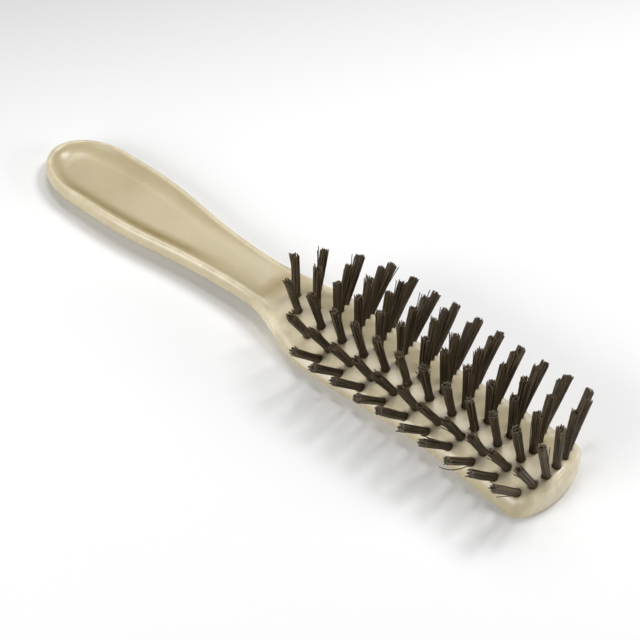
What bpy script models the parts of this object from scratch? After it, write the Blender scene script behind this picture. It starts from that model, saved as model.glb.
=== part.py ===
"""Clothes brush: a one-piece moulded body with seven fanned rows of bristle tufts.

The brush lies on its back, bristles up. +X runs from the handle's butt to the toe of the
head, +Y to one side and +Z up along the bristles. The origin is under the middle of the
brush, in the plane of the flat back that it rests on. Lengths are metres.
"""

import math

import bmesh
import bpy

MM = 0.001

# Overall plan of the body
LENGTH = 228.6 * MM
TOE_X = LENGTH / 2
BUTT_X = -LENGTH / 2
GAP = 0.3 * MM  # clearance between pieces that sit in one another

# Butt of the handle: half an ellipse in plan
BUTT_HALF_WIDTH = 15.7 * MM
BUTT_REACH = 22.0 * MM

# Toe of the head: one shallow arc with a rounded corner at each side
TOE_HALF_WIDTH = 18.5 * MM
TOE_ARC_RADIUS = 34.0 * MM
TOE_CORNER_RADIUS = 5.5 * MM

# Side of the body between the butt and the toe corner: (x, half width)
SIDE_CURVE = [
    (BUTT_X + BUTT_REACH, BUTT_HALF_WIDTH),
    (-74.0 * MM, 15.7 * MM),
    (-60.0 * MM, 14.6 * MM),
    (-42.0 * MM, 12.0 * MM),
    (-20.0 * MM, 10.4 * MM),
    (-8.0 * MM, 10.8 * MM),
    (3.0 * MM, 13.9 * MM),
    (14.0 * MM, 17.5 * MM),
    (28.0 * MM, 17.7 * MM),
    (62.0 * MM, 16.6 * MM),
    (92.0 * MM, 17.9 * MM),
]

# Head: its face is an arch across the brush
ARCH_HEIGHT = 12.1 * MM
ARCH_RADIUS = 26.0 * MM
HEAD_START_X = -12.0 * MM  # the handle's dish starts to rise into the arch here
HEAD_FULL_X = 1.0 * MM  # the arch has its full height from here to the toe

# Handle: a shallow dish inside a rounded rim
DISH_DEPTH = 2.4 * MM
DISH_WALL = 3.6 * MM
RIM_HEIGHT_CURVE = [
    (BUTT_X, 7.4 * MM),
    (-80.0 * MM, 8.0 * MM),
    (-45.0 * MM, 8.6 * MM),
    (-15.0 * MM, 9.4 * MM),
    (0.0 * MM, 10.0 * MM),
]

# Edge all round the body: the height of its widest line, and its roundings
EDGE_HEIGHT_CURVE = [
    (BUTT_X, 4.9 * MM),
    (-70.0 * MM, 6.8 * MM),
    (-25.0 * MM, 6.6 * MM),
    (0.0 * MM, 8.2 * MM),
    (12.0 * MM, 4.2 * MM),
    (70.0 * MM, 4.0 * MM),
    (TOE_X, 1.2 * MM),
]
EDGE_ROUND = 1.5 * MM
TOE_ROUND = 3.2 * MM
TOE_SQUARENESS = 2.6  # exponent of the toe wall's rounding, where 2 is an ellipse
TOE_WALL_START_X = TOE_X - 8.5 * MM  # the sides' roundings turn into the toe's from here
TOE_WALL_FULL_X = TOE_X - 3.0 * MM
HANDLE_UNDER_ROUND = 8.5 * MM
HEAD_UNDER_ROUND = 4.5 * MM
TOE_UNDER_ROUND = 2.0 * MM

# Underside: flat under the head and the grip, and lifted a little under the neck
UNDERSIDE_CURVE = [
    (-62.0 * MM, 0.0),
    (-24.0 * MM, 1.8 * MM),
    (10.0 * MM, 0.0),
]

# Rays that the body's surface is built on, and its steps along them
SIDE_STEP = 5.0 * MM
SPINE_START_X = BUTT_X + BUTT_REACH
SPINE_END_X = TOE_X - 16.0 * MM
TOE_ARC_STEPS = 4
CORNER_STEPS = 5
BUTT_STEPS = 9
ROUND_STEPS = 3
FACE_STEPS = 6
FACE_STEP_GROWTH = 1.5

# Tufts: seven rows fanned across the arch, numbered from the -Y side
TUFT_LENGTH = 18.0 * MM  # above the face
TUFT_ROOT_RADIUS = 1.3 * MM
TUFT_TIP_RADIUS = 1.75 * MM
TUFT_SIDES = 8
ROW_FAN = math.radians(15.3)  # turn from each row to the next
TUFT_LEAN = math.radians(5.9)  # every tuft leans a little towards the handle
# Rows at 0, 1, 2 and 3 places from the middle:
# (y, x of the toe-end tuft, pitch, tufts, wider last gap at the handle and at the toe)
ROW_LAYOUT = [
    (0.0 * MM, 109.5 * MM, 9.0 * MM, 13, 0.0 * MM, 0.0 * MM),
    (4.95 * MM, 109.1 * MM, 9.18 * MM, 12, 1.0 * MM, 0.7 * MM),
    (9.95 * MM, 107.5 * MM, 9.14 * MM, 11, 0.0 * MM, 1.0 * MM),
    (14.3 * MM, 104.8 * MM, 9.08 * MM, 10, 0.0 * MM, 0.0 * MM),
]
ROW_COUNT = 2 * len(ROW_LAYOUT) - 1

# Sockets and what lies in them, as depths below the face along each row's own normal
SOCKET_DEPTH = 5.0 * MM
SOCKET_RADIUS = TUFT_ROOT_RADIUS + GAP
ROOT_DEPTH = SOCKET_DEPTH - GAP
BRIDGE_HEIGHT = 0.8 * MM
BRIDGE_WIDTH = 0.8 * MM
ANCHOR_THICKNESS = 0.4 * MM
ANCHOR_HEIGHT = 1.1 * MM
ANCHOR_OVERHANG = 1.9 * MM  # past the centre of a row's first and last tuft
ANCHOR_BOTTOM_DEPTH = ROOT_DEPTH - BRIDGE_HEIGHT - GAP
ANCHOR_TOP_DEPTH = ANCHOR_BOTTOM_DEPTH - ANCHOR_HEIGHT
CUTTER_PROUD = 3.0 * MM  # how far a socket cutter stands out of the face

PLASTIC_COLOUR = (0.62, 0.53, 0.35, 1.0)
BRISTLE_COLOUR = (0.030, 0.022, 0.015, 1.0)
ANCHOR_COLOUR = (0.55, 0.56, 0.58, 1.0)


def clear_scene():
    for thing in list(bpy.data.objects):
        bpy.data.objects.remove(thing, do_unlink=True)


def make_material(name, colour, roughness, metallic):
    material = bpy.data.materials.new(name)
    material.use_nodes = True
    shader = material.node_tree.nodes["Principled BSDF"]
    shader.inputs["Base Color"].default_value = colour
    shader.inputs["Roughness"].default_value = roughness
    shader.inputs["Metallic"].default_value = metallic
    return material


def add_object(name, mesh, material):
    thing = bpy.data.objects.new(name, mesh)
    bpy.context.collection.objects.link(thing)
    mesh.materials.append(material)
    return thing


def hide_cutter(thing):
    thing.hide_render = True
    thing.display_type = "WIRE"


def smooth_step(value):
    value = min(1.0, max(0.0, value))
    return value * value * (3.0 - 2.0 * value)


def curve_value(points, x):
    """Height at x of a smooth curve through points, level beyond its first and last."""
    if x <= points[0][0]:
        return points[0][1]
    if x >= points[-1][0]:
        return points[-1][1]
    slopes = [0.0]
    for before, after in zip(points[:-2], points[2:]):
        slopes.append((after[1] - before[1]) / (after[0] - before[0]))
    slopes.append(0.0)
    place = max(i for i in range(len(points) - 1) if points[i][0] <= x)
    (x0, v0), (x1, v1) = points[place], points[place + 1]
    span = x1 - x0
    t = (x - x0) / span
    return (
        v0 * (1 + 2 * t) * (1 - t) ** 2
        + slopes[place] * span * t * (1 - t) ** 2
        + v1 * t * t * (3 - 2 * t)
        + slopes[place + 1] * span * t * t * (t - 1)
    )


def half_outline():
    """The body's widest line on the +Y side, from the toe's middle to the butt's middle."""
    points = []
    toe_centre_x = TOE_X - TOE_ARC_RADIUS
    corner_y = TOE_HALF_WIDTH - TOE_CORNER_RADIUS
    corner_reach = math.sqrt((TOE_ARC_RADIUS - TOE_CORNER_RADIUS) ** 2 - corner_y**2)
    corner_x = toe_centre_x + corner_reach
    meet = math.atan2(corner_y, corner_reach)
    for step in range(TOE_ARC_STEPS):
        angle = meet * step / TOE_ARC_STEPS
        points.append(
            (
                toe_centre_x + TOE_ARC_RADIUS * math.cos(angle),
                TOE_ARC_RADIUS * math.sin(angle),
            )
        )
    for step in range(CORNER_STEPS):
        angle = meet + (math.pi / 2 - meet) * step / CORNER_STEPS
        points.append(
            (
                corner_x + TOE_CORNER_RADIUS * math.cos(angle),
                corner_y + TOE_CORNER_RADIUS * math.sin(angle),
            )
        )
    side = SIDE_CURVE + [(corner_x, TOE_HALF_WIDTH)]
    butt_centre_x = BUTT_X + BUTT_REACH
    side_steps = round((corner_x - butt_centre_x) / SIDE_STEP)
    for step in range(side_steps):
        x = corner_x + (butt_centre_x - corner_x) * step / side_steps
        points.append((x, curve_value(side, x)))
    for step in range(BUTT_STEPS + 1):
        angle = math.pi / 2 * step / BUTT_STEPS
        points.append(
            (
                butt_centre_x - BUTT_REACH * math.sin(angle),
                BUTT_HALF_WIDTH * math.cos(angle),
            )
        )
    return points


def headness(x):
    """0 along the handle, 1 along the head."""
    return smooth_step((x - HEAD_START_X) / (HEAD_FULL_X - HEAD_START_X))


def toeness(x):
    """0 along the brush's sides, 1 on the toe's end wall."""
    return smooth_step((x - TOE_WALL_START_X) / (TOE_WALL_FULL_X - TOE_WALL_START_X))


def arch_height(y):
    return ARCH_HEIGHT - ARCH_RADIUS + math.sqrt(ARCH_RADIUS**2 - y * y)


def dish_height(x, inset):
    wall = smooth_step((inset - EDGE_ROUND) / DISH_WALL)
    return curve_value(RIM_HEIGHT_CURVE, x) - DISH_DEPTH * wall


def face_height(x, y, inset):
    """Height of the bristle side, away from the rounding of its edge."""
    head = headness(x)
    return arch_height(y) * head + dish_height(x, inset) * (1.0 - head)


def ray_levels(edge_x, edge_y):
    """Points from the spine of the face out to the edge and back under to the spine."""
    spine_x = min(SPINE_END_X, max(SPINE_START_X, edge_x))
    reach = math.hypot(edge_x - spine_x, edge_y)
    toe = toeness(edge_x)
    head = headness(edge_x)
    edge_height = curve_value(EDGE_HEIGHT_CURVE, edge_x)
    top_round = EDGE_ROUND + (TOE_ROUND - EDGE_ROUND) * toe
    squareness = 2.0 + (TOE_SQUARENESS - 2.0) * toe
    under_round = HANDLE_UNDER_ROUND + (HEAD_UNDER_ROUND - HANDLE_UNDER_ROUND) * head
    under_round += (TOE_UNDER_ROUND - under_round) * toe

    def plan(inset):
        share = inset / reach
        return edge_x + (spine_x - edge_x) * share, edge_y * (1.0 - share)

    levels = []
    for step in range(FACE_STEPS, 0, -1):
        share = (step / FACE_STEPS) ** FACE_STEP_GROWTH
        inset = top_round + (reach - top_round) * share
        x, y = plan(inset)
        levels.append((x, y, face_height(x, y, inset)))
    for step in range(ROUND_STEPS, 0, -1):
        inset = top_round * (1.0 - math.cos(math.pi / 2 * step / ROUND_STEPS))
        x, y = plan(inset)
        rise = (1.0 - (1.0 - inset / top_round) ** squareness) ** (1.0 / squareness)
        crest = face_height(x, y, max(inset, top_round))
        levels.append((x, y, edge_height + (crest - edge_height) * rise))
    levels.append((edge_x, edge_y, edge_height))
    for step in range(1, ROUND_STEPS + 1):
        inset = under_round * (1.0 - math.cos(math.pi / 2 * step / ROUND_STEPS))
        x, y = plan(inset)
        drop = math.sqrt(1.0 - (1.0 - inset / under_round) ** 2)
        floor = curve_value(UNDERSIDE_CURVE, x)
        levels.append((x, y, edge_height + (floor - edge_height) * drop))
    levels.append((spine_x, 0.0, curve_value(UNDERSIDE_CURVE, spine_x)))
    return levels


def body_mesh():
    """Closed skin of the moulding, before its sockets are cut."""
    side = half_outline()
    outline = side + [(x, -y) for x, y in reversed(side[1:-1])]
    shape = bmesh.new()
    shared = {}

    def vertex(point):
        key = tuple(round(value / MM, 4) + 0.0 for value in point)
        if key not in shared:
            shared[key] = shape.verts.new(point)
        return shared[key]

    rays = [[vertex(point) for point in ray_levels(x, y)] for x, y in outline]
    for ray, following in zip(rays, rays[1:] + rays[:1]):
        for level in range(len(ray) - 1):
            ring = [ray[level], ray[level + 1], following[level + 1], following[level]]
            corners = [v for i, v in enumerate(ring) if v not in ring[:i]]
            shape.faces.new(corners)
    bmesh.ops.recalc_face_normals(shape, faces=shape.faces)
    mesh = bpy.data.meshes.new("moulded_body")
    shape.to_mesh(mesh)
    shape.free()
    mesh.shade_smooth()
    mesh.set_sharp_from_angle(angle=math.radians(40))
    return mesh


def row_info(row):
    """A row's own directions, its base line and the x of each of its tufts."""
    place = row - (ROW_COUNT + 1) // 2
    side = (place > 0) - (place < 0)
    y, toe_x, pitch, count, handle_gap, toe_gap = ROW_LAYOUT[abs(place)]
    turn = ROW_FAN * place
    stations = [toe_x - toe_gap - pitch * step for step in range(count - 1, -1, -1)]
    stations[0] -= handle_gap
    stations[-1] += toe_gap
    return {
        "y": side * y,
        "z": arch_height(y),
        "normal": (math.sin(turn), math.cos(turn)),
        "across": (math.cos(turn), -math.sin(turn)),
        "stations": stations,
    }


def row_point(info, x, across, height):
    """World point from a place in the row's own frame, height along its normal."""
    return (
        x,
        info["y"] + across * info["across"][0] + height * info["normal"][0],
        info["z"] + across * info["across"][1] + height * info["normal"][1],
    )


def add_tube(shape, info, station, rings):
    """Closed round column on a tuft's leaning axis, through (height, radius) rings."""
    loops = []
    for height, radius in rings:
        middle_x = station - height * math.tan(TUFT_LEAN)
        loop = []
        for side in range(TUFT_SIDES):
            angle = 2 * math.pi * (side + 0.5) / TUFT_SIDES
            x = middle_x + radius * math.cos(angle)
            across = radius * math.sin(angle)
            loop.append(shape.verts.new(row_point(info, x, across, height)))
        loops.append(loop)
    for lower, upper in zip(loops[:-1], loops[1:]):
        for side in range(TUFT_SIDES):
            after = (side + 1) % TUFT_SIDES
            shape.faces.new([lower[side], lower[after], upper[after], upper[side]])
    shape.faces.new(list(reversed(loops[0])))
    shape.faces.new(loops[-1])


def add_bar(shape, info, x_range, width, height_range):
    """Closed straight bar along a row."""
    corners = [(-width / 2, height_range[0]), (width / 2, height_range[0])]
    corners += [(width / 2, height_range[1]), (-width / 2, height_range[1])]
    ends = []
    for x in x_range:
        ends.append([shape.verts.new(row_point(info, x, a, h)) for a, h in corners])
    for corner in range(4):
        after = (corner + 1) % 4
        shape.faces.new([ends[0][corner], ends[0][after], ends[1][after], ends[1][corner]])
    shape.faces.new(list(reversed(ends[0])))
    shape.faces.new(ends[1])


def finish_mesh(shape, name):
    bmesh.ops.recalc_face_normals(shape, faces=shape.faces)
    mesh = bpy.data.meshes.new(name)
    shape.to_mesh(mesh)
    shape.free()
    return mesh


def cut(target, cutter, overlapping=False):
    modifier = target.modifiers.new("cut", "BOOLEAN")
    modifier.operation = "DIFFERENCE"
    modifier.solver = "EXACT"
    modifier.use_self = overlapping
    modifier.object = cutter


def root_x(station, depth):
    """Where a tuft's leaning axis is at a depth below the face."""
    return station + depth * math.tan(TUFT_LEAN)


def anchor_range(info, extra=0.0):
    first = root_x(info["stations"][0], ANCHOR_BOTTOM_DEPTH) - ANCHOR_OVERHANG - extra
    last = root_x(info["stations"][-1], ANCHOR_BOTTOM_DEPTH) + ANCHOR_OVERHANG + extra
    return first, last


def socket_cutter():
    """One cylinder for every tuft's blind hole."""
    shape = bmesh.new()
    rings = [(-SOCKET_DEPTH, SOCKET_RADIUS), (CUTTER_PROUD, SOCKET_RADIUS)]
    for row in range(1, ROW_COUNT + 1):
        info = row_info(row)
        for station in info["stations"]:
            add_tube(shape, info, station, rings)
    return finish_mesh(shape, "socket_cutter")


def channel_cutter():
    """One slot under the face for each row, which its anchor strip lies in."""
    shape = bmesh.new()
    heights = (-SOCKET_DEPTH, -ANCHOR_TOP_DEPTH + GAP)
    for row in range(1, ROW_COUNT + 1):
        info = row_info(row)
        add_bar(shape, info, anchor_range(info, GAP), BRIDGE_WIDTH + 2 * GAP, heights)
    return finish_mesh(shape, "channel_cutter")


def build_body(material):
    body = add_object("moulded_body", body_mesh(), material)
    for mesh in (socket_cutter(), channel_cutter()):
        cutter = add_object(mesh.name, mesh, material)
        hide_cutter(cutter)
        cut(body, cutter)


def build_anchor_strip(row, info, material):
    """The flat wire that holds a row's tufts down in their sockets."""
    shape = bmesh.new()
    heights = (-ANCHOR_BOTTOM_DEPTH, -ANCHOR_TOP_DEPTH)
    add_bar(shape, info, anchor_range(info), ANCHOR_THICKNESS, heights)
    name = f"anchor_strip_row_{row}"
    return add_object(name, finish_mesh(shape, name), material)


def build_window_cutter(row, info, material):
    """Room for the anchor strip between the two legs of each folded tuft."""
    shape = bmesh.new()
    heights = (-ANCHOR_BOTTOM_DEPTH - GAP, -ANCHOR_TOP_DEPTH + GAP)
    width = ANCHOR_THICKNESS + 2 * GAP
    add_bar(shape, info, anchor_range(info, GAP), width, heights)
    name = f"window_cutter_row_{row}"
    cutter = add_object(name, finish_mesh(shape, name), material)
    hide_cutter(cutter)
    return cutter


def build_tufts(row, info, window, material):
    """Neighbouring tufts of a row, two by two, joined by a bar under their folds."""
    rings = [(-ROOT_DEPTH, TUFT_ROOT_RADIUS)]
    rings += [(0.0, TUFT_ROOT_RADIUS), (TUFT_LENGTH, TUFT_TIP_RADIUS)]
    stations = info["stations"]
    for first in range(0, len(stations), 2):
        group = stations[first : first + 2]
        shape = bmesh.new()
        for station in group:
            add_tube(shape, info, station, rings)
        numbers = "_".join(str(first + i + 1) for i in range(len(group)))
        if len(group) > 1:
            middle_depth = ROOT_DEPTH - BRIDGE_HEIGHT / 2
            span = tuple(root_x(station, middle_depth) for station in group)
            heights = (-ROOT_DEPTH + BRIDGE_HEIGHT / 8, -ROOT_DEPTH + BRIDGE_HEIGHT)
            add_bar(shape, info, span, BRIDGE_WIDTH, heights)
        name = f"tufts_row_{row}_no_{numbers}"
        mesh = finish_mesh(shape, name)
        mesh.shade_smooth()
        mesh.set_sharp_from_angle(angle=math.radians(40))
        cut(add_object(name, mesh, material), window, overlapping=True)


def main():
    clear_scene()
    plastic = make_material("ivory_plastic", PLASTIC_COLOUR, 0.38, 0.0)
    bristle = make_material("dark_bristle", BRISTLE_COLOUR, 0.45, 0.0)
    wire = make_material("anchor_wire", ANCHOR_COLOUR, 0.35, 1.0)
    build_body(plastic)
    for row in range(1, ROW_COUNT + 1):
        info = row_info(row)
        build_anchor_strip(row, info, wire)
        window = build_window_cutter(row, info, wire)
        build_tufts(row, info, window, bristle)


main()
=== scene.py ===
"""Looks of the clothes brush: a finely shaped moulded body, tufts of folded filaments and a studio.

Everything is in metres in the CAD model's frame: +X runs from the handle's butt to the toe of
the head, +Z is up along the bristles, and the brush lies on its flat back at Z = 0.
"""

import math
import random

import bmesh
import bpy
import numpy as np
from mathutils import Matrix, Vector


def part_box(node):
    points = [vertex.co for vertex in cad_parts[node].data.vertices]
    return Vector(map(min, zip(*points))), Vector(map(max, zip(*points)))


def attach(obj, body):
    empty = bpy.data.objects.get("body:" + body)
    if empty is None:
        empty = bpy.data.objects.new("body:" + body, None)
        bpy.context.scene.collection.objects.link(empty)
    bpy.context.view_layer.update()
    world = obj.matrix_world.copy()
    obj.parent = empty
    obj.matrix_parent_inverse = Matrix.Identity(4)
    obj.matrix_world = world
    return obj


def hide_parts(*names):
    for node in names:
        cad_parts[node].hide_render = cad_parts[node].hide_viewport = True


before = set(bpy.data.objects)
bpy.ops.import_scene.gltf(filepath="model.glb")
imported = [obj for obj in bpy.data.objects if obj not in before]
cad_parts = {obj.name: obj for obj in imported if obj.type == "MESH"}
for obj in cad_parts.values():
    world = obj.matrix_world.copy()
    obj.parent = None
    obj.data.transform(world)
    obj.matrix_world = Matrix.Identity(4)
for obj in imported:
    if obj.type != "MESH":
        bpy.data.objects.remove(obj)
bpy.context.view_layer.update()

MM = 0.001
BODY_LOW, BODY_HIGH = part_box("moulded_body")

# Overall plan of the body
BUTT_X = BODY_LOW.x
TOE_X = BODY_HIGH.x
BUTT_HALF_WIDTH = 15.5 * MM
BUTT_REACH = 22.0 * MM
BUTT_CENTRE_X = BUTT_X + BUTT_REACH
TOE_HALF_WIDTH = 18.5 * MM
TOE_ARC_RADIUS = 34.0 * MM
TOE_CORNER_RADIUS = 5.5 * MM

# Side of the body between the butt and the toe corner: (x, half width)
SIDE_CURVE = [
    (BUTT_CENTRE_X, BUTT_HALF_WIDTH),
    (-74.0 * MM, 15.5 * MM),
    (-60.0 * MM, 14.4 * MM),
    (-42.0 * MM, 11.8 * MM),
    (-20.0 * MM, 10.2 * MM),
    (-8.0 * MM, 10.7 * MM),
    (3.0 * MM, 13.9 * MM),
    (14.0 * MM, 17.5 * MM),
    (28.0 * MM, 17.7 * MM),
    (62.0 * MM, 16.6 * MM),
    (92.0 * MM, 17.9 * MM),
]

# Head: its face is an arch across the brush
ARCH_HEIGHT = BODY_HIGH.z
ARCH_RADIUS = 26.0 * MM
HEAD_START_X = -12.0 * MM
HEAD_FULL_X = 1.0 * MM

# Handle: a dish inside a rounded rim, shallower towards the head. The wall between them is
# steepest near the rim, and its top rounds over into the rim along its first share.
DISH_DEPTH_CURVE = [
    (BUTT_X, 3.2 * MM),
    (-92.0 * MM, 3.0 * MM),
    (-70.0 * MM, 2.2 * MM),
    (-45.0 * MM, 1.6 * MM),
    (-15.0 * MM, 0.9 * MM),
]
DISH_WALL = 7.0 * MM
DISH_WALL_POWER = 1.8
DISH_LIP_SHARE = 0.32
DISH_LIP_POWER = 0.5
RIM_HEIGHT_CURVE = [
    (BUTT_X, 7.5 * MM),
    (-80.0 * MM, 8.9 * MM),
    (-45.0 * MM, 9.4 * MM),
    (-15.0 * MM, 10.1 * MM),
    (0.0 * MM, 10.6 * MM),
]

# Edge all round the body: the height of its widest line, and its roundings above and under it.
# A squareness of 2 is a plain round, and more is squarer.
EDGE_HEIGHT_CURVE = [
    (BUTT_X, 4.8 * MM),
    (-70.0 * MM, 6.3 * MM),
    (-25.0 * MM, 6.2 * MM),
    (0.0 * MM, 7.8 * MM),
    (12.0 * MM, 4.2 * MM),
    (70.0 * MM, 4.0 * MM),
    (TOE_X, 1.2 * MM),
]
HANDLE_ROUND = 2.0 * MM
HEAD_ROUND = 2.4 * MM
TOE_ROUND = 3.2 * MM
SIDE_SQUARENESS = 2.0
TOE_SQUARENESS = 2.6
TOE_WALL_START_X = TOE_X - 8.5 * MM
TOE_WALL_FULL_X = TOE_X - 3.0 * MM
HANDLE_UNDER_ROUND = 8.5 * MM
HEAD_UNDER_ROUND = 4.5 * MM
TOE_UNDER_ROUND = 2.0 * MM
UNDERSIDE_CURVE = [
    (-62.0 * MM, 0.0),
    (-24.0 * MM, 1.8 * MM),
    (10.0 * MM, 0.0),
]

# Paler and darker places on the body: wear with painted sheen, painted shade round the sockets, in
# the dish's groove and at the ramp's foot, and a real stain.
# A pair is a stretch: where it starts and where it is full.
FAR = 1.0  # a distance longer than the brush
UPPER_SIDE_Z = 5.0 * MM
HANDLE_STRETCH_X = (HEAD_START_X + 4.0 * MM, HEAD_START_X - 2.0 * MM)
# Painted sheen, with some wear: paler on the toe's end wall, along the head's flanks and on the
# handle's rim crest
SHEEN_TOE_STRETCH_X = (TOE_X - 6.5 * MM, TOE_X - 2.5 * MM)
SHEEN_FLANK_STRETCH_X = (-12.0 * MM, -4.0 * MM)
SHEEN_FLANK_Y = 12.0 * MM
SHEEN_FLANK_REACH = 6.0 * MM
SHEEN_CREST_INSET = 1.4 * MM
SHEEN_CREST_REACH = 1.8 * MM
SHEEN_CREST_STRENGTH = 0.8
# Painted shade in the dish's groove, on the near (-Y) side of the handle, fading towards the butt
# and the neck
GROOVE_INSET = 5.0 * MM
GROOVE_REACH = 3.2 * MM
GROOVE_STRETCH_Y = (4.0 * MM, -4.0 * MM)
GROOVE_STRETCH_Y_LEAST = 0.1
GROOVE_BUTT_STRETCH_X = (-108.0 * MM, -94.0 * MM)
GROOVE_BUTT_LEAST = 0.2
GROOVE_NECK_STRETCH_X = (-28.0 * MM, -44.0 * MM)
TOP_FACE_INSET = 3.0 * MM
# Painted shade at the foot of the ramp up to the head
RAMP_FOOT_X = HEAD_START_X + 5.0 * MM
RAMP_FOOT_REACH = 5.0 * MM
RAMP_FOOT_STRENGTH = 0.6
# A real stain on the handle
STAIN_X = -82.0 * MM
STAIN_Y = 7.0 * MM
STAIN_REACH = 11.0 * MM
STAIN_STRENGTH = 0.25
# Reach of the painted shade round each socket
SOCKET_SHADE_REACH = 1.0 * MM

# Rays that the body's surface is built on, and its steps along them
SIDE_STEP = 0.7 * MM
SPINE_START_X = BUTT_CENTRE_X
SPINE_END_X = TOE_X - 16.0 * MM
TOE_ARC_STEPS = 14
CORNER_STEPS = 12
BUTT_STEPS = 40
ROUND_STEPS = 12
FACE_STEPS = 24
FACE_STEP_GROWTH = 1.5
SAME_POINT_DECIMALS = 4  # of a millimetre
BODY_SHARP_ANGLE = math.radians(35)

# Sockets in the face, with a slightly softened rim, and the gap round the anchor strips
GAP = 0.3 * MM
MERGE_DISTANCE = 0.01 * MM
SOCKET_RADIUS = 1.47 * MM
SOCKET_DEPTH = 5.0 * MM
SOCKET_RIM = 0.12 * MM
SOCKET_SIDES = 28
SOCKET_CUTTER_HEIGHT = 2.0 * MM  # above the face

# Tufts: filaments folded in two under the anchor strip
CAD_TUFT_SIDES = 8
FILAMENT_RADIUS = 0.17 * MM
FILAMENT_SIDES = 6
FILAMENT_SHARP_ANGLE = math.radians(60)
LEGS_PER_TUFT = 56
LEG_STEPS = 6
TUFT_ROOT_RADIUS = 1.44 * MM
TUFT_TIP_RADIUS = 1.72 * MM
TALLEST_FILAMENT = 0.5 * MM  # above the tuft's own length
ROOT_CLEARANCE = 0.9 * FILAMENT_RADIUS  # from the tuft's middle plane, at the face
ANCHOR_CLEARANCE = 0.42 * MM  # from the anchor strip's middle to a filament's middle
FOLD_START_DEPTH = 3.6 * MM
FOLD_DEPTH = 4.3 * MM
FOLD_DEPTH_GROWTH = 0.25  # with a filament's distance from the middle plane
FOLD_CORNER_RISE = 0.25 * MM
FOLD_CORNER_SHARE = 0.72  # of the width above the fold

# How tufts differ from one another
TUFT_LENGTHS = (0.97, 1.01)  # of the CAD tuft's length
TUFT_LEAN_SCATTER = 0.018  # sideways, of the tuft's length
TUFT_SLANT_SCATTER = 0.25  # rise of the cut end, of the tuft's width

# How the filaments of a tuft differ from one another
TIP_CLOSING = 0.6 * FILAMENT_RADIUS  # towards the tuft's middle plane
TIP_SCATTER = 0.14 * MM
USUAL_END = -0.2 * MM  # above the tuft's own length
END_SCATTER = 0.30 * MM
LONG_SHARE = 0.08
LONG_EXTRA = (0.4 * MM, 0.9 * MM)
SHORT_SHARE = 0.10
SHORT_LOSS = (0.4 * MM, 1.8 * MM)
STRAY_SHARE = 0.03
STRAY_REACH = (0.5 * MM, 1.6 * MM)
STRAY_BEND_POWER = 2.2
USUAL_BEND_POWER = 1.25
BOW_SCATTER = 0.10 * MM
PAIR_SCATTER = 0.08 * MM  # between a filament's two legs, along the row

# One long hair that bends out of a tuft near the toe: its tuft, its bend and its end
HAIR_ROW = 1
HAIR_NUMBER = 8
HAIR_BEND = Vector((86.8 * MM, -24.0 * MM, 10.5 * MM))
HAIR_END = Vector((83.9 * MM, -29.5 * MM, 17.5 * MM))
HAIR_STEPS = 10

# Colours and strengths of the looks
IVORY_DEEP = (0.488, 0.414, 0.258, 1)
IVORY_PALE = (0.528, 0.450, 0.288, 1)
IVORY_MOTTLE = (0.46, 0.38, 0.215, 1)
# Pale colour for wear with painted sheen on the toe, the flanks and the rim crest
IVORY_WEAR_AND_SHEEN = (0.84, 0.755, 0.555, 1)
# Painted shade round the sockets
SOCKET_SHADE_COLOUR = (0.33, 0.25, 0.12, 1)
# Darker colour for painted shade in the dish's groove and at the ramp's foot, and for a real stain
SHADE_AND_STAIN = (0.30, 0.22, 0.09, 1)
SPECK = (0.12, 0.09, 0.05, 1)
BRISTLE_DARK = (0.036, 0.022, 0.009, 1)
BRISTLE_BROWN = (0.150, 0.104, 0.050, 1)
BRISTLE_STREAK = (0.095, 0.068, 0.038, 1)
WIRE_DARK = (0.42, 0.43, 0.45, 1)
WIRE_BRIGHT = (0.62, 0.62, 0.63, 1)
MOTTLE_STRENGTH = 0.25
SPECK_STRENGTH = 0.5
WHITE = (1, 1, 1, 1)

# A colour mix's sockets share their names with others, so they go by number
MIX_FACTOR = 0
MIX_FIRST = 6
MIX_SECOND = 7
MIX_RESULT = 2

# Floor: a square sheet of white paper, with painted shade darkening it along one direction
FLOOR_HALF = 3.0
FLOOR_FALLOFF_DIRECTION = (-0.81, 0.585, 0.0)
FLOOR_PAINTED_FALLOFF = {"From Min": 0.05, "From Max": 0.30, "To Min": 0.88, "To Max": 0.48}

# Softboxes: name, direction from the brush, size across and upwards in metres, power in watts
LIGHT_DISTANCE = 0.9
SOFTBOXES = [
    ("back_softbox", (0.12, 0.53, 0.84), (0.29, 0.29), 4.0),
    ("back_left_softbox", (-0.38, 0.32, 0.87), (0.42, 0.65), 2.2),
    ("overhead_softbox", (-0.22, 0.13, 0.967), (0.16, 0.16), 0.85),
    ("front_softbox", (-0.25, -0.88, 0.42), (0.55, 0.50), 5.9),
    ("right_softbox", (0.82, 0.42, 0.36), (0.4, 0.30), 2.8),
]
WORLD_STRENGTH = 0.05

# Camera: its place and the directions of its view and of its picture's right side
CAMERA_PLACE = (0.2445, -0.3316, 0.4560)
CAMERA_FORWARD = (-0.3842, 0.5487, -0.7425)
CAMERA_RIGHT = (0.7700, 0.6342, 0.0703)
CAMERA_LENS = 99.8  # in millimetres, as is the sensor's width
CAMERA_SENSOR = 36.0


# ---------------------------------------------------------------- curves of the moulded body


def smooth_step(value):
    """0 up to 0 and 1 from 1 on, with a smooth rise between."""
    value = min(1.0, max(0.0, value))
    return value * value * (3.0 - 2.0 * value)


def blend(first, second, share):
    return first + (second - first) * share


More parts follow.
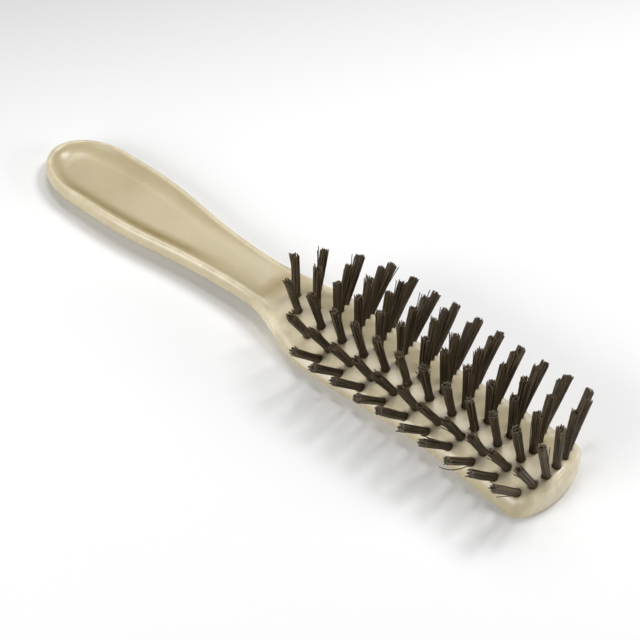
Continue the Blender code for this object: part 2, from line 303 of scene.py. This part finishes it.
def curve_value(points, x):
    """Value at x of a smooth curve through points, level beyond its first and last."""
    if x <= points[0][0]:
        return points[0][1]
    if x >= points[-1][0]:
        return points[-1][1]
    slopes = [0.0]
    for before, after in zip(points[:-2], points[2:]):
        slopes.append((after[1] - before[1]) / (after[0] - before[0]))
    slopes.append(0.0)
    place = max(i for i in range(len(points) - 1) if points[i][0] <= x)
    (x0, v0), (x1, v1) = points[place], points[place + 1]
    span = x1 - x0
    t = (x - x0) / span
    return (
        v0 * (1 + 2 * t) * (1 - t) ** 2
        + slopes[place] * span * t * (1 - t) ** 2
        + v1 * t * t * (3 - 2 * t)
        + slopes[place + 1] * span * t * t * (t - 1)
    )


def half_outline():
    """The body's widest line on the +Y side, from the toe's middle to the butt's middle."""
    points = []
    toe_centre_x = TOE_X - TOE_ARC_RADIUS
    corner_y = TOE_HALF_WIDTH - TOE_CORNER_RADIUS
    corner_reach = math.sqrt((TOE_ARC_RADIUS - TOE_CORNER_RADIUS) ** 2 - corner_y**2)
    corner_x = toe_centre_x + corner_reach
    meet = math.atan2(corner_y, corner_reach)
    for step in range(TOE_ARC_STEPS):
        angle = meet * step / TOE_ARC_STEPS
        x = toe_centre_x + TOE_ARC_RADIUS * math.cos(angle)
        points.append((x, TOE_ARC_RADIUS * math.sin(angle)))
    for step in range(CORNER_STEPS):
        angle = meet + (math.pi / 2 - meet) * step / CORNER_STEPS
        x = corner_x + TOE_CORNER_RADIUS * math.cos(angle)
        points.append((x, corner_y + TOE_CORNER_RADIUS * math.sin(angle)))
    side = SIDE_CURVE + [(corner_x, TOE_HALF_WIDTH)]
    side_steps = round((corner_x - BUTT_CENTRE_X) / SIDE_STEP)
    for step in range(side_steps):
        x = corner_x + (BUTT_CENTRE_X - corner_x) * step / side_steps
        points.append((x, curve_value(side, x)))
    for step in range(BUTT_STEPS + 1):
        angle = math.pi / 2 * step / BUTT_STEPS
        x = BUTT_CENTRE_X - BUTT_REACH * math.sin(angle)
        points.append((x, BUTT_HALF_WIDTH * math.cos(angle)))
    return points


def headness(x):
    """0 along the handle, 1 along the head."""
    return smooth_step((x - HEAD_START_X) / (HEAD_FULL_X - HEAD_START_X))


def toeness(x):
    """0 along the brush's sides, 1 on the toe's end wall."""
    return smooth_step((x - TOE_WALL_START_X) / (TOE_WALL_FULL_X - TOE_WALL_START_X))


def arch_height(y):
    """Height of the head's face."""
    return ARCH_HEIGHT - ARCH_RADIUS + math.sqrt(ARCH_RADIUS**2 - y * y)


def dish_height(x, inset):
    """Height of the handle's face: the rim, and the dish some way in from the edge."""
    share = min(1.0, max(0.0, (inset - HANDLE_ROUND) / DISH_WALL))
    wall = 1.0 - (1.0 - share) ** DISH_WALL_POWER
    lip = smooth_step(share / DISH_LIP_SHARE) ** DISH_LIP_POWER
    return curve_value(RIM_HEIGHT_CURVE, x) - curve_value(DISH_DEPTH_CURVE, x) * (wall * lip)


def face_height(x, y, inset):
    """Height of the bristle side, away from the rounding of its edge."""
    head = headness(x)
    return arch_height(y) * head + dish_height(x, inset) * (1.0 - head)


def ray_levels(edge_x, edge_y):
    """Points from the spine of the face out to the edge and back under to the spine."""
    spine_x = min(SPINE_END_X, max(SPINE_START_X, edge_x))
    reach = math.hypot(edge_x - spine_x, edge_y)
    toe = toeness(edge_x)
    head = headness(edge_x)
    edge_height = curve_value(EDGE_HEIGHT_CURVE, edge_x)
    top_round = blend(blend(HANDLE_ROUND, HEAD_ROUND, head), TOE_ROUND, toe)
    squareness = blend(SIDE_SQUARENESS, TOE_SQUARENESS, toe)
    under_round = blend(blend(HANDLE_UNDER_ROUND, HEAD_UNDER_ROUND, head), TOE_UNDER_ROUND, toe)

    def plan(inset):
        share = inset / reach
        return blend(edge_x, spine_x, share), edge_y * (1.0 - share)

    levels = []
    for step in range(FACE_STEPS, 0, -1):
        share = (step / FACE_STEPS) ** FACE_STEP_GROWTH
        inset = blend(top_round, reach, share)
        x, y = plan(inset)
        levels.append((x, y, face_height(x, y, inset)))
    for step in range(ROUND_STEPS, 0, -1):
        inset = top_round * (1.0 - math.cos(math.pi / 2 * step / ROUND_STEPS))
        x, y = plan(inset)
        rise = (1.0 - (1.0 - inset / top_round) ** squareness) ** (1.0 / squareness)
        crest = face_height(x, y, max(inset, top_round))
        levels.append((x, y, blend(edge_height, crest, rise)))
    levels.append((edge_x, edge_y, edge_height))
    for step in range(1, ROUND_STEPS + 1):
        inset = under_round * (1.0 - math.cos(math.pi / 2 * step / ROUND_STEPS))
        x, y = plan(inset)
        drop = math.sqrt(1.0 - (1.0 - inset / under_round) ** 2)
        floor = curve_value(UNDERSIDE_CURVE, x)
        levels.append((x, y, blend(edge_height, floor, drop)))
    levels.append((spine_x, 0.0, curve_value(UNDERSIDE_CURVE, spine_x)))
    return levels


def body_skin():
    """Closed skin of the moulding, before its sockets are cut."""
    side = half_outline()
    outline = side + [(x, -y) for x, y in reversed(side[1:-1])]
    shape = bmesh.new()
    shared = {}

    def vertex(point):
        """The one vertex at a point; adding 0.0 makes a key of -0.0 the same as one of 0.0."""
        key = tuple(round(value / MM, SAME_POINT_DECIMALS) + 0.0 for value in point)
        if key not in shared:
            shared[key] = shape.verts.new(point)
        return shared[key]

    rays = [[vertex(point) for point in ray_levels(x, y)] for x, y in outline]
    for ray, following in zip(rays, rays[1:] + rays[:1]):
        for level in range(len(ray) - 1):
            ring = [ray[level], ray[level + 1], following[level + 1], following[level]]
            # Rays that end in one point of the spine make triangles there
            corners = [v for i, v in enumerate(ring) if v not in ring[:i]]
            shape.faces.new(corners)
    return finish_mesh(shape, "brush_body")


def finish_mesh(shape, name):
    """Mesh of a shape, with its faces turned outwards."""
    bmesh.ops.recalc_face_normals(shape, faces=shape.faces)
    mesh = bpy.data.meshes.new(name)
    shape.to_mesh(mesh)
    shape.free()
    return mesh


def add_object(name, data):
    thing = bpy.data.objects.new(name, data)
    bpy.context.scene.collection.objects.link(thing)
    return thing


# ---------------------------------------------------------------- places read from the frame


def corner_points(node):
    """A CAD node's own corners, each once, from the highest down."""
    rounded = {tuple(round(value, 7) for value in v.co) for v in node.data.vertices}
    return sorted(rounded, key=lambda point: -point[2])


def ring_middle(points):
    return Vector([sum(values) / len(points) for values in zip(*points)])


def tuft_axes():
    """Each tuft's row, number, CAD node, and the middles of it at the face and at its tip."""
    axes = []
    for name, node in sorted(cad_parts.items()):
        if not name.startswith("tufts_row_"):
            continue
        # A name such as tufts_row_3_no_5_6 holds the row and the numbers of one or two tufts
        words = name.split("_")
        row = int(words[2])
        numbers = [int(word) for word in words[4:]]
        low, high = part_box(name)
        points = corner_points(node)
        for place, number in enumerate(numbers):
            if len(numbers) > 1:
                middle = (low.x + high.x) / 2
                own = [p for p in points if (p[0] > middle) == (place == 1)]
            else:
                own = points
            tip = ring_middle(own[:CAD_TUFT_SIDES])
            face = ring_middle(own[CAD_TUFT_SIDES : 2 * CAD_TUFT_SIDES])
            axes.append({"row": row, "number": number, "node": name, "face": face, "tip": tip})
    return axes


def tuft_directions(tuft):
    """Unit vectors along the tuft, across its row, and along its row."""
    axis = (tuft["tip"] - tuft["face"]).normalized()
    across = axis.cross(Vector((1.0, 0.0, 0.0))).normalized()
    along = across.cross(axis).normalized()
    return axis, across, along


# ---------------------------------------------------------------- the body's sockets


def add_column(shape, tuft, rings):
    """Closed round column on a tuft's axis, through (height, radius) rings."""
    axis, across, along = tuft_directions(tuft)
    loops = []
    for height, radius in rings:
        middle = tuft["face"] + axis * height
        loop = []
        for side in range(SOCKET_SIDES):
            angle = 2 * math.pi * side / SOCKET_SIDES
            spoke = along * math.cos(angle) + across * math.sin(angle)
            loop.append(shape.verts.new(middle + spoke * radius))
        loops.append(loop)
    for lower, upper in zip(loops[:-1], loops[1:]):
        for side in range(SOCKET_SIDES):
            after = (side + 1) % SOCKET_SIDES
            shape.faces.new([lower[side], lower[after], upper[after], upper[side]])
    shape.faces.new(list(reversed(loops[0])))
    shape.faces.new(loops[-1])


def socket_cutter(tufts):
    flare = 2 * SOCKET_RIM
    rings = [
        (-SOCKET_DEPTH, SOCKET_RADIUS),
        (-flare, SOCKET_RADIUS),
        (flare, SOCKET_RADIUS + flare),
        (SOCKET_CUTTER_HEIGHT, SOCKET_RADIUS + flare),
    ]
    shape = bmesh.new()
    for tuft in tufts:
        add_column(shape, tuft, rings)
    return add_object("socket_cutter", finish_mesh(shape, "socket_cutter"))


def channel_cutter():
    """The anchor strips of the frame, grown by the gap on every side."""
    shape = bmesh.new()
    for name, node in sorted(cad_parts.items()):
        if name.startswith("anchor_strip"):
            shape.from_mesh(node.data)
    bmesh.ops.remove_doubles(shape, verts=shape.verts, dist=MERGE_DISTANCE)
    bmesh.ops.recalc_face_normals(shape, faces=shape.faces)
    shape.normal_update()
    # A box's corner moves by the gap along all three of its edges at once
    grown = {v: v.co + v.normal * GAP * math.sqrt(3) for v in shape.verts}
    for v, place in grown.items():
        v.co = place
    return add_object("channel_cutter", finish_mesh(shape, "channel_cutter"))


def cut(target, cutter):
    modifier = target.modifiers.new("cut", "BOOLEAN")
    modifier.operation = "DIFFERENCE"
    modifier.solver = "EXACT"
    modifier.object = cutter


def apply_cuts(target, cutters):
    """Gives the target the mesh that its cuts leave, and removes the cutters."""
    graph = bpy.context.evaluated_depsgraph_get()
    graph.update()
    mesh = bpy.data.meshes.new_from_object(target.evaluated_get(graph))
    target.modifiers.clear()
    target.data = mesh
    for cutter in cutters:
        bpy.data.objects.remove(cutter, do_unlink=True)
    mesh.shade_smooth()
    mesh.set_sharp_from_angle(angle=BODY_SHARP_ANGLE)


def write_point_values(mesh, name, values):
    attribute = mesh.attributes.new(name, "FLOAT", "POINT")
    attribute.data.foreach_set("value", np.asarray(values, np.float32))


def mark_socket_shade(mesh, tufts):
    """Painted shade: 1 at the rim of a socket, falling to 0 a short way off."""
    places = np.array([v.co for v in mesh.vertices])
    nearest = np.full(len(places), FAR)
    for tuft in tufts:
        distance = np.linalg.norm(places - np.array(tuft["face"]), axis=1)
        nearest = np.minimum(nearest, distance)
    shade_near_sockets = np.clip(1.0 - (nearest - SOCKET_RADIUS) / SOCKET_SHADE_REACH, 0.0, 1.0)
    write_point_values(mesh, "socket_shade", shade_near_sockets)


def band(values, middle, reach):
    """1 where values are at the middle, falling to 0 at the reach on both sides of it."""
    return np.clip(1.0 - np.abs(values - middle) / reach, 0.0, 1.0)


def ramp_up(values, stretch, least=0.0):
    """The least before a stretch, rising along it to 1, and 1 beyond it."""
    start, full = stretch
    return np.clip((values - start) / (full - start), least, 1.0)


def edge_distances(places):
    """Distance in plan from each place to the body's widest line."""
    nearest = np.full(len(places), FAR)
    for x, y in half_outline():
        nearest = np.minimum(nearest, np.hypot(places[:, 0] - x, np.abs(places[:, 1]) - y))
    return nearest


def mark_wear_stain_and_painted_light(mesh):
    """Where the plastic is paler, as wear with painted sheen, and where it is darker: painted shade
    in the handle's groove and at the ramp's foot, and a brown stain on the handle.
    """
    places = np.array([v.co for v in mesh.vertices])
    x, y, z = places.T
    inset = edge_distances(places)
    upper_side = z > UPPER_SIDE_Z
    handle = ramp_up(x, HANDLE_STRETCH_X) * upper_side
    # Painted sheen, with some wear, on the toe, the head's flanks and the rim's crest
    toe = ramp_up(x, SHEEN_TOE_STRETCH_X)
    flank = band(np.abs(y), SHEEN_FLANK_Y, SHEEN_FLANK_REACH) * ramp_up(x, SHEEN_FLANK_STRETCH_X)
    crest = SHEEN_CREST_STRENGTH * band(inset, SHEEN_CREST_INSET, SHEEN_CREST_REACH) * handle
    write_point_values(mesh, "wear_and_sheen", np.maximum.reduce([toe, flank, crest]))
    # Painted shade in the groove, mostly on the near side, and at the ramp's foot; and a real stain
    groove = band(inset, GROOVE_INSET, GROOVE_REACH) * handle
    groove *= ramp_up(y, GROOVE_STRETCH_Y, GROOVE_STRETCH_Y_LEAST)
    groove *= ramp_up(x, GROOVE_BUTT_STRETCH_X, GROOVE_BUTT_LEAST)
    groove *= ramp_up(x, GROOVE_NECK_STRETCH_X)
    top_face = upper_side * (inset > TOP_FACE_INSET)
    ramp_foot = RAMP_FOOT_STRENGTH * band(x, RAMP_FOOT_X, RAMP_FOOT_REACH) * top_face
    stain_distance = np.hypot(x - STAIN_X, y - STAIN_Y)
    stain = STAIN_STRENGTH * band(stain_distance, 0.0, STAIN_REACH) * top_face
    write_point_values(mesh, "shade_and_stain", np.maximum.reduce([groove, ramp_foot, stain]))


def build_body(tufts, material):
    body = add_object("brush_body", body_skin())
    cutters = [socket_cutter(tufts), channel_cutter()]
    for cutter in cutters:
        cut(body, cutter)
    apply_cuts(body, cutters)
    mark_socket_shade(body.data, tufts)
    mark_wear_stain_and_painted_light(body.data)
    body.data.materials.clear()
    body.data.materials.append(material)
    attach(body, "root")
    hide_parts("moulded_body")


# ---------------------------------------------------------------- tufts


def filament_leg(rng, root, length, lean, slant):
    """Middle line of one leg above the fold, as (along, across, height) points, upwards."""
    start = Vector(root)
    tip = start * (TUFT_TIP_RADIUS / TUFT_ROOT_RADIUS)
    tip.y -= math.copysign(TIP_CLOSING, start.y)
    tip += Vector((rng.gauss(0, TIP_SCATTER), rng.gauss(0, TIP_SCATTER)))
    tip += Vector(lean) * length
    cut_slant = slant[0] * start.x + slant[1] * start.y
    height = length + cut_slant + rng.gauss(USUAL_END, END_SCATTER)
    chance = rng.random()
    if chance < LONG_SHARE:
        height += rng.uniform(*LONG_EXTRA)
    elif chance < LONG_SHARE + SHORT_SHARE:
        height -= rng.uniform(*SHORT_LOSS)
    height = min(height, length + TALLEST_FILAMENT)
    bend_power = USUAL_BEND_POWER
    if rng.random() < STRAY_SHARE:
        bend_power = STRAY_BEND_POWER
        tip += start.normalized() * rng.uniform(*STRAY_REACH)
    bow = Vector((rng.gauss(0, BOW_SCATTER), rng.gauss(0, BOW_SCATTER)))
    points = []
    for step in range(LEG_STEPS + 1):
        share = step / LEG_STEPS
        place = start.lerp(tip, share**bend_power) + bow * math.sin(math.pi * share)
        points.append((place.x, place.y, height * share))
    return points


def folded_filament(rng, root, length, lean, slant):
    """Middle line of a whole filament: tip, down, under the anchor strip, up, and tip again."""
    side_gap = ANCHOR_CLEARANCE / TUFT_ROOT_RADIUS
    first = filament_leg(rng, root, length, lean, slant)
    mirrored = (root[0] + rng.gauss(0, PAIR_SCATTER), -root[1])
    second = filament_leg(rng, mirrored, length, lean, slant)

    def beside_anchor(place):
        across = place[1]
        pushed = math.copysign(ANCHOR_CLEARANCE, across) + across * (1 - side_gap)
        return (place[0], pushed, -FOLD_START_DEPTH)

    left = beside_anchor(root)
    right = beside_anchor(mirrored)
    depth = FOLD_DEPTH + FOLD_DEPTH_GROWTH * abs(root[1])
    fold = [
        (left[0], left[1] * FOLD_CORNER_SHARE, FOLD_CORNER_RISE - depth),
        ((left[0] + right[0]) / 2, 0.0, -depth),
        (right[0], right[1] * FOLD_CORNER_SHARE, FOLD_CORNER_RISE - depth),
    ]
    return list(reversed(first)) + [left] + fold + [right] + second


def bent_hair(tuft, directions):
    """Middle line of the long hair, from inside its socket, in the tuft's own directions."""
    axis, across, along = directions
    root = tuft["face"] - axis * FOLD_START_DEPTH
    points = []
    for step in range(HAIR_STEPS + 1):
        share = step / HAIR_STEPS
        place = root.lerp(HAIR_BEND, share).lerp(HAIR_BEND.lerp(HAIR_END, share), share)
        offset = place - tuft["face"]
        points.append((offset.dot(along), offset.dot(across), offset.dot(axis)))
    return points


def add_filament(points, tuft, directions, verts, faces):
    """Tube along a filament's middle line, appended to a tuft's vertices and faces."""
    axis, across, along = directions
    line = [tuft["face"] + along * a + across * b + axis * c for a, b, c in points]
    first = len(verts)
    for place, middle in enumerate(line):
        before = line[max(0, place - 1)]
        after = line[min(len(line) - 1, place + 1)]
        tangent = (after - before).normalized()
        side = tangent.cross(along).normalized()
        front = side.cross(tangent)
        for corner in range(FILAMENT_SIDES):
            angle = 2 * math.pi * corner / FILAMENT_SIDES
            spoke = front * math.cos(angle) + side * math.sin(angle)
            verts.append(middle + spoke * FILAMENT_RADIUS)
    for ring in range(len(line) - 1):
        base = first + ring * FILAMENT_SIDES
        for corner in range(FILAMENT_SIDES):
            after = (corner + 1) % FILAMENT_SIDES
            upper = base + FILAMENT_SIDES
            faces.append((base + corner, upper + corner, upper + after, base + after))
    faces.append(tuple(range(first, first + FILAMENT_SIDES)))
    last = first + (len(line) - 1) * FILAMENT_SIDES
    faces.append(tuple(reversed(range(last, last + FILAMENT_SIDES))))


def packed_roots():
    """Places of filaments in a full round socket, on its +across half, middle to rim."""
    golden_angle = math.pi * (3 - math.sqrt(5))
    reach = TUFT_ROOT_RADIUS - FILAMENT_RADIUS
    roots = []
    for place in range(LEGS_PER_TUFT):
        radius = reach * math.sqrt((place + 0.5) / LEGS_PER_TUFT)
        along = radius * math.cos(golden_angle * place)
        across = radius * math.sin(golden_angle * place)
        if across > 0:
            roots.append((along, ROOT_CLEARANCE + across * (1 - ROOT_CLEARANCE / reach)))
    return roots


def build_tuft(tuft, material):
    # A seed of its own, so that a tuft looks the same whatever else is built
    rng = random.Random(100 * tuft["row"] + tuft["number"])
    directions = tuft_directions(tuft)
    length = (tuft["tip"] - tuft["face"]).length * rng.uniform(*TUFT_LENGTHS)
    lean = (rng.gauss(0, TUFT_LEAN_SCATTER), rng.gauss(0, TUFT_LEAN_SCATTER))
    slant = (rng.gauss(0, TUFT_SLANT_SCATTER), rng.gauss(0, TUFT_SLANT_SCATTER))
    verts = []
    faces = []
    shades = []
    lines = [folded_filament(rng, root, length, lean, slant) for root in packed_roots()]
    if (tuft["row"], tuft["number"]) == (HAIR_ROW, HAIR_NUMBER):
        lines.append(bent_hair(tuft, directions))
    for points in lines:
        add_filament(points, tuft, directions, verts, faces)
        shades += [rng.random()] * (FILAMENT_SIDES * len(points))
    name = f"tuft_row_{tuft['row']}_no_{tuft['number']:02d}"
    mesh = bpy.data.meshes.new(name)
    mesh.from_pydata(verts, [], faces)
    mesh.shade_smooth()
    mesh.set_sharp_from_angle(angle=FILAMENT_SHARP_ANGLE)
    write_point_values(mesh, "filament_shade", shades)
    mesh.materials.append(material)
    piece = add_object(name, mesh)
    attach(piece, "root")
    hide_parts(tuft["node"])


# ---------------------------------------------------------------- materials


def grey(level):
    return (level, level, level, 1)


class Nodes:
    """Short calls for building a material's node tree."""

    def __init__(self, name):
        self.material = bpy.data.materials.new(name)
        self.material.use_nodes = True
        self.tree = self.material.node_tree
        self.shader = self.tree.nodes["Principled BSDF"]
        self.place = self.add("ShaderNodeTexCoord").outputs["Object"]

    def add(self, kind, **settings):
        node = self.tree.nodes.new(kind)
        for key, value in settings.items():
            setattr(node, key, value)
        return node

    def link(self, source, target):
        self.tree.links.new(source, target)

    def fill(self, node, values):
        """Each value goes to its input, by a link if it is a socket."""
        for key, value in values.items():
            if isinstance(value, bpy.types.NodeSocket):
                self.link(value, node.inputs[key])
            else:
                node.inputs[key].default_value = value

    def stretched(self, scale):
        mapping = self.add("ShaderNodeMapping")
        mapping.inputs["Scale"].default_value = scale
        self.link(self.place, mapping.inputs["Vector"])
        return mapping.outputs["Vector"]

    def noise(self, scale, detail=3.0, roughness=0.5, place=None):
        node = self.add("ShaderNodeTexNoise")
        node.inputs["Scale"].default_value = scale
        node.inputs["Detail"].default_value = detail
        node.inputs["Roughness"].default_value = roughness
        self.link(place or self.place, node.inputs["Vector"])
        return node.outputs["Fac"]

    def ramp(self, value, low, high, low_colour=grey(0), high_colour=WHITE):
        node = self.add("ShaderNodeValToRGB")
        node.color_ramp.elements[0].position = low
        node.color_ramp.elements[0].color = low_colour
        node.color_ramp.elements[1].position = high
        node.color_ramp.elements[1].color = high_colour
        self.link(value, node.inputs["Fac"])
        return node.outputs["Color"]

    def mix(self, factor, first, second):
        """Colour mix; first and second are sockets or colours, factor a socket or number."""
        node = self.add("ShaderNodeMix", data_type="RGBA")
        self.fill(node, {MIX_FACTOR: factor, MIX_FIRST: first, MIX_SECOND: second})
        return node.outputs[MIX_RESULT]

    def times(self, first, second):
        """Product; first and second are sockets or numbers."""
        node = self.add("ShaderNodeMath", operation="MULTIPLY")
        self.fill(node, {0: first, 1: second})
        return node.outputs["Value"]

    def attribute(self, name):
        return self.add("ShaderNodeAttribute", attribute_name=name).outputs["Fac"]

    def bump(self, height, strength, distance, before=None):
        node = self.add("ShaderNodeBump")
        node.inputs["Strength"].default_value = strength
        node.inputs["Distance"].default_value = distance
        self.link(height, node.inputs["Height"])
        if before is not None:
            self.link(before, node.inputs["Normal"])
        return node.outputs["Normal"]

    def finish(self, colour, roughness, normal):
        self.link(colour, self.shader.inputs["Base Color"])
        self.link(roughness, self.shader.inputs["Roughness"])
        self.link(normal, self.shader.inputs["Normal"])
        return self.material


def ivory_plastic():
    nodes = Nodes("ivory_moulding")
    clouds = nodes.ramp(nodes.noise(scale=55, detail=4), low=0.30, high=0.70)
    colour = nodes.mix(clouds, IVORY_DEEP, IVORY_PALE)
    mottle = nodes.ramp(nodes.noise(scale=420, roughness=0.6), low=0.35, high=0.75)
    colour = nodes.mix(nodes.times(mottle, MOTTLE_STRENGTH), colour, IVORY_MOTTLE)
    patches = nodes.ramp(nodes.noise(scale=190, detail=4, roughness=0.6), low=0.15, high=0.75)
    # Painted sheen, with some wear, in patches
    wear_and_sheen = nodes.times(nodes.attribute("wear_and_sheen"), patches)
    colour = nodes.mix(wear_and_sheen, colour, IVORY_WEAR_AND_SHEEN)
    # Painted shade round the sockets
    shade_near_sockets = nodes.times(nodes.attribute("socket_shade"), nodes.noise(scale=300))
    colour = nodes.mix(shade_near_sockets, colour, SOCKET_SHADE_COLOUR)
    # Painted shade in the groove and at the ramp's foot, and a real stain, in blotches
    blotch_noise = nodes.noise(scale=90, detail=4, roughness=0.6)
    blotches = nodes.ramp(blotch_noise, low=0.15, high=0.65, low_colour=grey(0.3))
    shade_and_stain_share = nodes.times(nodes.attribute("shade_and_stain"), blotches)
    colour = nodes.mix(shade_and_stain_share, colour, SHADE_AND_STAIN)
    specks = nodes.ramp(nodes.noise(scale=1500, detail=2, roughness=0.4), low=0.735, high=0.765)
    colour = nodes.mix(nodes.times(specks, SPECK_STRENGTH), colour, SPECK)
    scuffs = nodes.noise(scale=160, detail=5, roughness=0.65)
    roughness = nodes.ramp(scuffs, 0.25, 0.80, low_colour=grey(0.26), high_colour=grey(0.38))
    normal = nodes.bump(nodes.noise(scale=260, detail=2), strength=0.28, distance=0.22 * MM)
    grain = nodes.noise(scale=2600, detail=2)
    normal = nodes.bump(grain, strength=0.25, distance=0.01 * MM, before=normal)
    nodes.shader.inputs["IOR"].default_value = 1.6
    nodes.shader.inputs["Subsurface Weight"].default_value = 0.25
    nodes.shader.inputs["Subsurface Radius"].default_value = (1.0, 0.8, 0.5)
    nodes.shader.inputs["Subsurface Scale"].default_value = 1.2 * MM
    return nodes.finish(colour, roughness, normal)


def dark_bristle():
    nodes = Nodes("dark_filament")
    shade = nodes.attribute("filament_shade")
    colour = nodes.ramp(shade, 0.0, 1.0, low_colour=BRISTLE_DARK, high_colour=BRISTLE_BROWN)
    streaks = nodes.noise(scale=1400, detail=2, place=nodes.stretched((1.0, 1.0, 0.25)))
    colour = nodes.mix(nodes.ramp(streaks, low=0.35, high=0.8), colour, BRISTLE_STREAK)
    gloss = nodes.noise(scale=900, detail=2)
    roughness = nodes.ramp(gloss, 0.3, 0.7, low_colour=grey(0.36), high_colour=grey(0.52))
    normal = nodes.bump(streaks, strength=0.3, distance=0.03 * MM)
    return nodes.finish(colour, roughness, normal)


def anchor_wire():
    nodes = Nodes("drawn_wire")
    lines = nodes.noise(scale=1800, place=nodes.stretched((0.03, 1.0, 1.0)))
    colour = nodes.mix(lines, WIRE_DARK, WIRE_BRIGHT)
    roughness = nodes.ramp(lines, 0.2, 0.8, low_colour=grey(0.25), high_colour=grey(0.45))
    normal = nodes.bump(lines, strength=0.3, distance=0.01 * MM)
    nodes.shader.inputs["Metallic"].default_value = 1.0
    return nodes.finish(colour, roughness, normal)


def finish_anchor_strips():
    wire = anchor_wire()
    for name, node in sorted(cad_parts.items()):
        if name.startswith("anchor_strip"):
            node.data.materials.clear()
            node.data.materials.append(wire)


# ---------------------------------------------------------------- studio


def build_floor():
    """A sheet of white paper, with painted shade darkening it towards one side."""
    near, far = -FLOOR_HALF, FLOOR_HALF
    corners = [(near, near, 0), (far, near, 0), (far, far, 0), (near, far, 0)]
    mesh = bpy.data.meshes.new("studio_floor")
    mesh.from_pydata(corners, [], [(0, 1, 2, 3)])
    nodes = Nodes("white_paper")
    distance = nodes.add("ShaderNodeVectorMath", operation="DOT_PRODUCT")
    distance.inputs[1].default_value = FLOOR_FALLOFF_DIRECTION
    nodes.link(nodes.place, distance.inputs[0])
    painted_falloff = nodes.add("ShaderNodeMapRange", interpolation_type="SMOOTHSTEP")
    nodes.fill(painted_falloff, FLOOR_PAINTED_FALLOFF)
    nodes.link(distance.outputs["Value"], painted_falloff.inputs["Value"])
    dull = nodes.noise(scale=40, detail=2)
    roughness = nodes.ramp(dull, 0.2, 0.8, low_colour=grey(0.85), high_colour=grey(0.95))
    normal = nodes.bump(nodes.noise(scale=900, detail=2), strength=0.05, distance=0.02 * MM)
    nodes.shader.inputs["Specular IOR Level"].default_value = 0.1
    mesh.materials.append(nodes.finish(painted_falloff.outputs["Result"], roughness, normal))
    add_object("studio_floor", mesh)


def add_softbox(name, direction, size, power):
    """Area light that faces the middle of the brush, its size given across and upwards."""
    light = bpy.data.lights.new(name, "AREA")
    light.shape = "RECTANGLE"
    light.size, light.size_y = size
    light.energy = power
    lamp = add_object(name, light)
    outward = Vector(direction).normalized()
    across = Vector((0.0, 0.0, 1.0)).cross(outward).normalized()
    turn = Matrix((across, outward.cross(across), outward)).transposed()
    lamp.matrix_world = Matrix.Translation(outward * LIGHT_DISTANCE) @ turn.to_4x4()


def build_lights():
    for name, direction, size, power in SOFTBOXES:
        add_softbox(name, direction, size, power)
    world = bpy.data.worlds.new("studio_world")
    world.use_nodes = True
    background = world.node_tree.nodes["Background"]
    background.inputs["Color"].default_value = WHITE
    background.inputs["Strength"].default_value = WORLD_STRENGTH
    bpy.context.scene.world = world
    bpy.context.scene.view_settings.view_transform = "Standard"


def build_camera():
    lens = bpy.data.cameras.new("camera")
    lens.lens = CAMERA_LENS
    lens.sensor_width = CAMERA_SENSOR
    camera = add_object("camera", lens)
    forward = Vector(CAMERA_FORWARD).normalized()
    right = Vector(CAMERA_RIGHT).normalized()
    up = right.cross(forward).normalized()
    turn = Matrix((right, up, -forward)).transposed()
    camera.matrix_world = Matrix.Translation(CAMERA_PLACE) @ turn.to_4x4()
    bpy.context.scene.camera = camera


build_floor()
build_lights()
build_camera()
tufts = tuft_axes()
build_body(tufts, ivory_plastic())
bristle = dark_bristle()
for tuft in tufts:
    build_tuft(tuft, bristle)
finish_anchor_strips()
